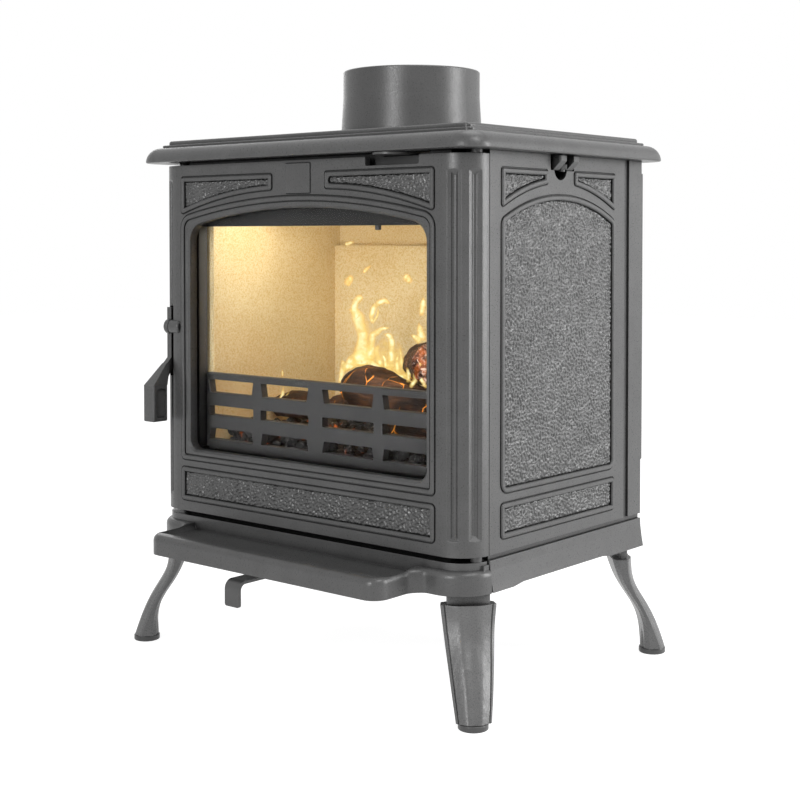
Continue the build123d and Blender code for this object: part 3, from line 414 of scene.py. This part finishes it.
def side_edge(u):
    """Height of a side spandrel's hammered lower edge at u"""
    radius = ARCH_RADIUS + EDGE_OUT
    along = abs(u - ARCH_CENTRE)
    low = ARCH_CROWN + EDGE_RISE - radius + sqrt(radius**2 - along**2)
    return low - EDGE_FALL * along + BORDER


def side_fields(side, to_point, shift):
    start = ARCH_CENTRE - ARCH_HALF + BORDER
    end = ARCH_CENTRE + ARCH_HALF - BORDER
    hammered(f"{side}_arch_hammered", "stove", start, end,
             lambda u: ARCH_LOW + BORDER, arch_top, to_point, shift)
    hammered(f"{side}_lower_hammered", "stove", start, end,
             lambda u: SIDE_LOWER_BOTTOM + BORDER, lambda u: SIDE_LOWER_TOP - BORDER, to_point, shift + 9)
    for way, where in ((-1, "front"), (1, "rear")):
        ends = sorted(ARCH_CENTRE + way * u for u in (SIDE_NEAR + BORDER, SIDE_FAR - BORDER))
        hammered(f"{side}_{where}_spandrel_hammered", "stove", ends[0], ends[1],
                 side_edge, lambda u: SIDE_TOP - BORDER, to_point, shift + 21 + way)


side_fields("right", on_right, 11)
side_fields("left", on_left, 83)


# Logs and coals on the firebed
def charred(name, brown, dark, glow):
    """Burnt wood with grain along it, and glowing cracks where glow is above 0"""
    m = Material(name)
    along = m.stretched(0.22, 1.0, 1.0)
    grain = m.noise(3.4, 4, 0.6, vector=along, distortion=0.6)
    blotch = m.noise(24, 3)
    wood = m.ramp(grain, [(0.34, dark), (0.66, brown)])
    soot = m.ramp(blotch, [(0.42, (0.28, 0.26, 0.25)), (0.6, (1.0, 1.0, 1.0))])
    colour = m.mix(1.0, wood, soot, "MULTIPLY")
    edges = m.tree.nodes.new("ShaderNodeTexVoronoi")
    edges.feature = "DISTANCE_TO_EDGE"
    edges.inputs["Scale"].default_value = 1 / (26 * MM)
    m.link(m.stretched(1.0, 1.0, 0.6), edges.inputs["Vector"])
    crack = m.ramp(edges.outputs["Distance"], [(0.0, (1.0, 0.34, 0.03)), (0.013, (0.0, 0.0, 0.0))])
    where = m.ramp(m.noise(30, 2), [(0.54, 0.0), (0.62, 1.0)])
    hot = m.mix(1.0, crack, where, "MULTIPLY")
    m.set(Base_Color=colour, Roughness=0.8, Normal=m.bump(grain, 1.4))
    return m.set(Emission_Color=hot, Emission_Strength=glow)


log_wood = charred("charred_log", (0.115, 0.042, 0.012), (0.016, 0.006, 0.003), 2.0)


def ashen():
    """The burnt end of a log: red-brown under flakes of pale ash"""
    m = Material("ashen_log_end")
    flakes = m.noise(5, 4, 0.65, distortion=1.2)
    colour = m.ramp(flakes, [(0.42, (0.02, 0.008, 0.005)), (0.54, (0.12, 0.036, 0.014)),
                             (0.62, (0.30, 0.21, 0.17)), (0.70, (0.60, 0.53, 0.47))])
    hot = m.ramp(m.noise(13, 3), [(0.5, (0.0, 0.0, 0.0)), (0.68, (1.0, 0.22, 0.02))])
    m.set(Base_Color=colour, Roughness=0.85, Normal=m.bump(flakes, 1.5))
    return m.set(Emission_Color=hot, Emission_Strength=0.4)


log_end = ashen()


def charcoal():
    m = Material("charcoal")
    black = m.ramp(m.noise(6, 3), [(0.35, 0.006), (0.7, 0.022)])
    ash = m.ramp(m.noise(2.6, 4, 0.62), [(0.58, (0.0, 0.0, 0.0)), (0.70, (0.32, 0.31, 0.30))])
    colour = m.mix(1.0, black, ash, "ADD")
    hot = m.ramp(m.noise(17, 2), [(0.62, (0.0, 0.0, 0.0)), (0.72, (1.0, 0.2, 0.02))])
    m.set(Base_Color=colour, Roughness=0.75, Normal=m.bump(m.noise(2.2, 3), 0.7))
    return m.set(Emission_Color=hot, Emission_Strength=0.5)


coal = charcoal()


# The ends of a log close in three steps, each a share of its radius
END_SHARES = (0.96, 0.7, 0.4)


def log(name, stations, material, end_material, seed, lump=2.2, around=36, rings=46):
    """A log through stations (x, y, z, radius), with a furrowed side and rough ends"""
    stops = np.linspace(0, len(stations) - 1, rings)
    keys = np.arange(len(stations))
    path = np.array([[np.interp(t, keys, [s[k] for s in stations]) for k in range(4)] for t in stops])
    kernel = np.ones(5) / 5
    soft = np.stack([np.convolve(np.pad(path[:, k], 2, mode="edge"), kernel, "valid") for k in range(4)], 1)
    vertices, faces = [], []

    def ring(centre, radius, tangent, share=1.0):
        side = tangent.cross(Vector((0, 0, 1))).normalized()
        up = side.cross(tangent)
        for k in range(around):
            a = 2 * pi * k / around
            out = side * cos(a) + up * sin(a)
            point = Vector(centre) + out * radius * share
            furrow = noise.noise(Vector((point.x * 0.03, a * 2.6, seed)))
            rough = noise.noise(point * 0.12 + Vector((seed, 0, 0)))
            point += out * (lump * share * (furrow + 0.8 * rough))
            point += tangent * (1.2 * rough)
            vertices.append(place(*point))

    for n in range(rings):
        ahead = soft[min(n + 1, rings - 1)] - soft[max(n - 1, 0)]
        ring(soft[n][:3], soft[n][3], Vector(ahead[:3]).normalized())
    for n in range(rings - 1):
        for k in range(around):
            a, b = n * around + k, n * around + (k + 1) % around
            faces.append((a, b, b + around, a + around))
    side_faces = len(faces)
    for end in (0, rings - 1):
        inward = 1 if end == 0 else -1
        ahead = soft[end + inward] - soft[end]
        tangent = Vector(ahead[:3]).normalized() * inward
        last = end * around
        for share in END_SHARES:
            first = len(vertices)
            ring(soft[end][:3], soft[end][3], tangent, share)
            for k in range(around):
                k2 = (k + 1) % around
                quad = (last + k, first + k, first + k2, last + k2)
                faces.append(quad if end == 0 else quad[::-1])
            last = first
        fan = tuple(range(last, last + around))
        faces.append(fan if end else fan[::-1])
    piece = new_mesh(name, vertices, faces, material, "stove")
    piece.data.materials.append(end_material)
    for polygon in piece.data.polygons[side_faces:]:
        polygon.material_index = 1
    return piece


log("front_log", [(-30, 108, 278, 14), (-15, 108, 281, 23), (4, 108, 281, 26), (25, 108, 273, 26),
                  (60, 106, 264, 26), (112, 100, 256, 24)], log_wood, log_end, 3.0)
log("rear_log", [(97, 92, 314, 20), (80, 108, 312, 21), (58, 128, 310, 21), (38, 146, 306, 19)],
    log_wood, log_end, 8.0)
log("low_log", [(62, 70, 243, 14), (90, 78, 240, 16), (140, 92, 236, 15)], log_wood, log_end, 12.0, 1.6)
log("left_log", [(-152, 128, 250, 12), (-118, 118, 256, 15), (-76, 108, 258, 15)],
    log_wood, log_end, 17.0, 1.6)
log("under_log", [(-48, 104, 260, 10), (-20, 104, 261, 15), (20, 100, 257, 15)],
    log_wood, log_end, 23.0, 1.6)


BED_HALF = 146
BED_FRONT = 44
BED_BACK = 200
BED_TOP = 236
HEAP_PEAK = 12
HEAP_CENTRE = 30
HEAP_WIDTH = 95
BEHIND_HEAP = 150
COAL_SPACING = (11.5, 12.0, 9.0)
COAL_RADIUS = (6.0, 9.5)
COAL_FACETS = 9


def angular_coal(bm, rng, centre, radius):
    """One coal: a ball cut by flat facets and stretched"""
    lump = bmesh.ops.create_icosphere(bm, subdivisions=2, radius=1)["verts"]
    cuts = [(Vector(rng.normal(size=3)).normalized(), rng.uniform(0.62, 0.85))
            for _ in range(COAL_FACETS)]
    stretch = rng.uniform(0.7, 1.15, 3)
    for v in lump:
        p = v.co.copy()
        for normal, limit in cuts:
            p -= normal * max(p.dot(normal) - limit, 0)
        p = Vector(a * b for a, b in zip(p, stretch)) * radius
        v.co = place(*(centre + p))


def coal_bed():
    """A heap of angular coals, higher to the right, in one mesh"""
    rng = np.random.default_rng(21)
    bm = bmesh.new()
    spots = []
    across, deep, up = COAL_SPACING
    for x in np.arange(-BED_HALF, BED_HALF + 1, across):
        for y in np.arange(BED_FRONT, BED_BACK, deep):
            heap = HEAP_PEAK * np.exp(-((x - HEAP_CENTRE) / HEAP_WIDTH) ** 2)
            top = BED_TOP + heap - 0.12 * max(y - BEHIND_HEAP, 0)
            spots.append((x, y, top - 6))
            if y < BED_FRONT + 6:
                spots += [(x + 5, y + 1, level) for level in np.arange(BED_TOP - 18, top - 8, up)]
    for x, y, z in spots:
        centre = Vector((x, y, z)) + Vector(rng.uniform(-4, 4, 3))
        centre.y = max(centre.y, BED_FRONT)
        angular_coal(bm, rng, centre, rng.uniform(*COAL_RADIUS))
    mesh = bpy.data.meshes.new("coals")
    bm.to_mesh(mesh)
    bm.free()
    mesh.materials.append(coal)
    piece = bpy.data.objects.new("coals", mesh)
    bpy.context.scene.collection.objects.link(piece)
    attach(piece, "stove")


coal_bed()


# Flames: thin strips that are hot in the middle and fade towards their edges
def flame_glow():
    mat = bpy.data.materials.new("flame")
    mat.use_nodes = True
    tree = mat.node_tree
    tree.nodes.remove(tree.nodes["Principled BSDF"])
    unwrapped = tree.nodes.new("ShaderNodeUVMap")
    unwrapped.uv_map = "heat"
    heat = tree.nodes.new("ShaderNodeSeparateXYZ")
    tree.links.new(unwrapped.outputs["UV"], heat.inputs[0])
    coords = tree.nodes.new("ShaderNodeTexCoord")
    streaks = tree.nodes.new("ShaderNodeTexNoise")
    streaks.inputs["Scale"].default_value = 1 / (7 * MM)
    streaks.inputs["Detail"].default_value = 3
    tree.links.new(coords.outputs["Object"], streaks.inputs["Vector"])
    ripple = tree.nodes.new("ShaderNodeMapRange")
    ripple.inputs["From Min"].default_value = 0.3
    ripple.inputs["From Max"].default_value = 0.62
    ripple.inputs["To Min"].default_value = 0.45
    tree.links.new(streaks.outputs["Fac"], ripple.inputs["Value"])
    level = tree.nodes.new("ShaderNodeMath")
    level.operation = "MULTIPLY"
    tree.links.new(heat.outputs["X"], level.inputs[0])
    tree.links.new(ripple.outputs["Result"], level.inputs[1])
    colour = tree.nodes.new("ShaderNodeValToRGB")
    ramp = colour.color_ramp
    ramp.elements.new(0.5)
    for element, (position, shade) in zip(ramp.elements, (
            (0.1, (1.0, 0.52, 0.07, 1)), (0.5, (1.0, 0.76, 0.22, 1)), (0.95, (1.0, 0.93, 0.58, 1)))):
        element.position = position
        element.color = shade
    tree.links.new(level.outputs[0], colour.inputs["Fac"])
    emission = tree.nodes.new("ShaderNodeEmission")
    emission.inputs["Strength"].default_value = 1.15
    tree.links.new(colour.outputs["Color"], emission.inputs["Color"])
    clear = tree.nodes.new("ShaderNodeBsdfTransparent")
    blend = tree.nodes.new("ShaderNodeMixShader")
    tree.links.new(level.outputs[0], blend.inputs[0])
    tree.links.new(clear.outputs[0], blend.inputs[1])
    tree.links.new(emission.outputs[0], blend.inputs[2])
    tree.links.new(blend.outputs[0], tree.nodes["Material Output"].inputs["Surface"])
    return mat


flame = flame_glow()
# Each flame is a flat strip that faces this azimuth: its name, its depth, and its (x, z, width)
FACING_AZIMUTH = radians(40)
FACING = Vector((sin(FACING_AZIMUTH), -cos(FACING_AZIMUTH), 0))
FLAMES = (
    ("tongue", 125, ((-26, 303, 15.8), (-24, 320, 13.4), (-24, 334, 8.0), (-29, 348, 8.5),
                     (-32, 356, 10.3), (-37, 365, 5.2), (-35, 372, 5.1), (-29, 376, 5.8), (-24, 374, 2.4))),
    ("tongue_left", 125, ((-31, 355, 4.9), (-38, 361, 4.4), (-45, 364, 1.2))),
    ("hook", 128, ((-17, 307, 8.5), (-15, 328, 5.8), (-13, 337, 4.9), (-7, 340, 5.1), (0, 344, 3.2),
                   (13, 346, 1.0))),
    ("high_hook", 128, ((-13, 350, 2.7), (-15, 357, 4.1), (-11, 367, 4.4), (-4, 372, 4.1),
                        (4, 374, 4.1), (12, 371, 1.2))),
    ("loop", 129, ((-14, 349, 1.2), (-7, 358, 1.9), (-6, 366, 1.5))),
    ("ribbon", 122, ((5, 304, 4.8), (-1, 314, 4.1), (-3, 322, 3.6), (1, 327, 3.4))),
    ("arch", 120, ((19, 298, 7.3), (20, 317, 5.3), (21, 332, 4.4), (17, 338, 4.1), (9, 339, 1.0))),
    ("wisp_a", 118, ((31, 299, 4.4), (29, 312, 2.7), (32, 319, 1.0))),
    ("wisp_b", 118, ((16, 303, 4.8), (13, 313, 2.4), (8, 319, 0.7))),
    ("wisp_c", 121, ((35, 299, 4.4), (33, 313, 2.4), (31, 327, 0.7))),
    ("left_curl", 100, ((-36, 285, 1.9), (-32, 297, 4.3), (-29, 306, 5.3), (-33, 311, 1.0))),
    ("shoulder", 112, ((-41, 298, 4.3), (-29, 310, 7.2), (-16, 316, 10.9), (-4, 314, 9.6))),
    ("crest", 116, ((-44, 297, 2.4), (-23, 309, 5.6), (-6, 308, 6.0), (10, 301, 5.6), (23, 296, 4.8),
                    (36, 295, 5.3), (49, 301, 3.6))),
    ("right_curl", 84, ((76, 290, 2.9), (83, 299, 4.3), (85, 308, 5.5), (84, 314, 4.8), (92, 314, 1.2))),
    ("right_root", 84, ((97, 291, 2.4), (89, 300, 3.1), (85, 307, 2.4))),
    ("over_log", 92, ((83, 336, 6.0), (76, 340, 4.1), (70, 343, 1.0))),
    ("above_log", 96, ((81, 336, 7.2), (79, 348, 5.0), (77, 355, 1.2))),
    ("high_right", 120, ((61, 360, 3.6), (63, 372, 4.4), (64, 380, 1.0))),
    ("spot_left", 125, ((-48, 389.2, 4.5), (-45, 394.2, 6.5), (-39.2, 400.6, 3))),
    ("spot_up", 125, ((-23.4, 403.5, 1.5), (-20.4, 406.5, 2.6), (-11.8, 412, 1.2))),
    ("spot_right", 125, ((33, 400, 4), (37, 399, 6), (44.5, 394, 2.5))),
    ("spot_top", 125, ((-50.5, 434.4, 2), (-46.5, 434.4, 3.4), (-36.3, 436.6, 1.4))),
    ("left_spark", 110, ((-131, 286, 1.6), (-131, 290, 1.9), (-131, 294, 0.7))),
    ("left_low", 110, ((-134, 256, 5.0), (-131, 266, 3.4), (-129, 276, 1.0))),
    ("left_low_wide", 110, ((-120, 255, 7.0), (-124, 262, 4.2), (-121, 270, 1.4))),
    ("low_right", 90, ((68, 294, 2.9), (69, 303, 3.6), (66, 310, 1.2))),
)


# Faint wide strips between the flames
VEIL_PEAK = 0.5
VEILS = (
    ("veil_left", 127, ((-38, 288, 18), (-28, 304, 20), (-22, 324, 15), (-24, 346, 9), (-32, 362, 6))),
    ("veil_middle", 123, ((2, 290, 24), (2, 306, 20), (6, 322, 13), (10, 338, 5))),
    ("veil_right", 119, ((38, 288, 20), (34, 302, 16), (30, 318, 9), (30, 334, 3))),
)


def strip(name, depth, stops, peak=1.0):
    """A flame's strip through (x, z, width) at one depth, rounded between its points"""
    keys = np.arange(len(stops))
    samples = np.linspace(0, len(stops) - 1, 10 * len(stops))
    raw = np.array([[np.interp(t, keys, [p[k] for p in stops]) for k in range(3)] for t in samples])
    for _ in range(3):
        raw[1:-1] = (raw[:-2] + 2 * raw[1:-1] + raw[2:]) / 4
    across = (-1.0, -0.55, 0.0, 0.55, 1.0)
    vertices, faces, heats = [], [], []
    for n, (x, z, width) in enumerate(raw):
        step = raw[min(n + 1, len(raw) - 1)] - raw[max(n - 1, 0)]
        tangent = Vector((step[0], 0, step[1])).normalized()
        side = tangent.cross(FACING).normalized()
        fade = min(1.0, (len(raw) - 1 - n) / 8, 0.35 + n / 8)
        wobble = noise.noise(Vector((x * 0.15, z * 0.15, depth)))
        for c in across:
            curl = 2.0 * wobble * (1 - c * c)
            vertices.append(place(*(Vector((x, depth, z)) + side * (c * width * 0.8) + FACING * curl)))
            heats.append(peak * fade * (1 - c * c) ** 0.85)
    count = len(across)
    for n in range(len(raw) - 1):
        for k in range(count - 1):
            a = n * count + k
            faces.append((a, a + 1, a + count + 1, a + count))
    piece = new_mesh("flame_" + name, vertices, faces, flame, "stove")
    heat = piece.data.uv_layers.new(name="heat")
    for loop in piece.data.loops:
        heat.data[loop.index].uv = (heats[loop.vertex_index], 0.5)


for flame_name, depth, stops in FLAMES:
    strip(flame_name, depth, stops)
for flame_name, depth, stops in VEILS:
    strip(flame_name, depth, stops, VEIL_PEAK)


# Camera at the photograph's viewing angle
CAMERA_PLACE = (0.99446, -1.15445, 0.44032)
CAMERA_TILT = radians(90 - 1.669)
CAMERA_TURN = radians(40.119)
CAMERA_LENS = 64.315
CAMERA_SHIFT = -0.15
camera_data = bpy.data.cameras.new("camera")
camera_data.lens = CAMERA_LENS
camera_data.sensor_width = 36.0
camera_data.shift_y = CAMERA_SHIFT
camera = bpy.data.objects.new("camera", camera_data)
camera.location = CAMERA_PLACE
camera.rotation_euler = (CAMERA_TILT, 0, CAMERA_TURN)
bpy.context.scene.collection.objects.link(camera)
bpy.context.scene.camera = camera

# White world and pale floor
SKY_LIGHT = 0.36
WHITE = 1.0
FLOOR_REACH = 6
FLOOR_PAINT = 0.86
FLOOR_GLOW = 0.88
FLOOR_SHADE = 0.5


def white_where_seen(tree):
    """1 for a camera, glossy or transmission ray, and 0 for others"""
    rays = tree.nodes.new("ShaderNodeLightPath")
    first = tree.nodes.new("ShaderNodeMath")
    first.operation = "MAXIMUM"
    tree.links.new(rays.outputs["Is Camera Ray"], first.inputs[0])
    tree.links.new(rays.outputs["Is Glossy Ray"], first.inputs[1])
    second = tree.nodes.new("ShaderNodeMath")
    second.operation = "MAXIMUM"
    tree.links.new(first.outputs[0], second.inputs[0])
    tree.links.new(rays.outputs["Is Transmission Ray"], second.inputs[1])
    return second.outputs[0]


def studio_world():
    """An even light, and white where it is seen"""
    world = bpy.data.worlds.new("studio")
    world.use_nodes = True
    bpy.context.scene.world = world
    tree = world.node_tree
    sky = tree.nodes["Background"]
    sky.inputs["Color"].default_value = (1, 1, 1, 1)
    sky.inputs["Strength"].default_value = SKY_LIGHT
    seen = tree.nodes.new("ShaderNodeBackground")
    seen.inputs["Color"].default_value = (1, 1, 1, 1)
    seen.inputs["Strength"].default_value = WHITE
    either = tree.nodes.new("ShaderNodeMixShader")
    tree.links.new(white_where_seen(tree), either.inputs[0])
    tree.links.new(sky.outputs[0], either.inputs[1])
    tree.links.new(seen.outputs[0], either.inputs[2])
    tree.links.new(either.outputs[0], tree.nodes["World Output"].inputs["Surface"])


def pale_floor():
    """Pale paint that glows where it is seen, and still shows the object's shadow"""
    mat = bpy.data.materials.new("pale_floor")
    mat.use_nodes = True
    tree = mat.node_tree
    paint = tree.nodes["Principled BSDF"]
    paint.inputs["Base Color"].default_value = (FLOOR_PAINT, FLOOR_PAINT, FLOOR_PAINT, 1)
    paint.inputs["Roughness"].default_value = 0.9
    paint.inputs["Specular IOR Level"].default_value = 0.0
    glow = tree.nodes.new("ShaderNodeEmission")
    glow.inputs["Strength"].default_value = FLOOR_GLOW
    both_shaders = tree.nodes.new("ShaderNodeAddShader")
    dimmed = tree.nodes.new("ShaderNodeMixShader")
    dimmed.inputs[0].default_value = FLOOR_SHADE
    clear = tree.nodes.new("ShaderNodeEmission")
    clear.inputs["Strength"].default_value = 0.0
    tree.links.new(clear.outputs[0], dimmed.inputs[1])
    tree.links.new(paint.outputs[0], dimmed.inputs[2])
    tree.links.new(dimmed.outputs[0], both_shaders.inputs[0])
    tree.links.new(glow.outputs[0], both_shaders.inputs[1])
    choose = tree.nodes.new("ShaderNodeMixShader")
    tree.links.new(white_where_seen(tree), choose.inputs[0])
    tree.links.new(paint.outputs[0], choose.inputs[1])
    tree.links.new(both_shaders.outputs[0], choose.inputs[2])
    tree.links.new(choose.outputs[0], tree.nodes["Material Output"].inputs["Surface"])
    return mat


def floor():
    mesh = bpy.data.meshes.new("floor")
    bm = bmesh.new()
    bmesh.ops.create_grid(bm, x_segments=1, y_segments=1, size=FLOOR_REACH)
    bm.to_mesh(mesh)
    bm.free()
    mesh.materials.append(pale_floor())
    piece = bpy.data.objects.new("floor", mesh)
    bpy.context.scene.collection.objects.link(piece)


studio_world()
floor()


# Lamps, in metres and watts
def lamp(name, location, target, size, power, colour=(1, 1, 1), size_y=None):
    data = bpy.data.lights.new(name, "AREA")
    data.shape = "RECTANGLE"
    data.size = size
    data.size_y = size_y or size
    data.energy = power
    data.color = colour
    light = bpy.data.objects.new(name, data)
    light.location = location
    light.rotation_euler = (Vector(target) - Vector(location)).to_track_quat("-Z", "Y").to_euler()
    bpy.context.scene.collection.objects.link(light)
    return light


centre = (0, 0, 0.32)


def around(azimuth, distance, height):
    """A place at an azimuth in degrees, from 0 in front of the door towards 90 on its right"""
    a = radians(azimuth)
    return (distance * sin(a), -distance * cos(a), height)


lamp("front", around(10, 2.4, 0.9), centre, 0.45, 30, size_y=1.4)
lamp("right_rear", around(119, 2.3, 0.7), centre, 0.7, 42, size_y=1.6)
lamp("side_wash", around(152, 2.4, 0.9), centre, 1.2, 4, size_y=1.4)
lamp("over_right", around(80, 1.7, 2.4), centre, 1.0, 24)
lamp("left_rear", around(-120, 2.4, 1.2), centre, 0.8, 3)
lamp("top", (0.0, 0.5, 2.4), centre, 1.2, 12)
WARM = (1.0, 0.96, 0.84)
GLOWING = (1.0, 0.50, 0.18)
for fire_light in (
        lamp("fire_top", place(-75, 70, 468), place(-172, 110, 420), 0.08, 0.15, WARM),
        lamp("fire_low", place(40, 60, 340), place(-40, 236, 350), 0.12, 0.12, WARM),
        lamp("fire_glow", place(0, 112, 350), place(0, 40, 245), 0.10, 0.09, GLOWING)):
    fire_light.visible_camera = False
    fire_light.visible_glossy = False
    fire_light.visible_transmission = False

bpy.context.scene.view_settings.view_transform = "Standard"
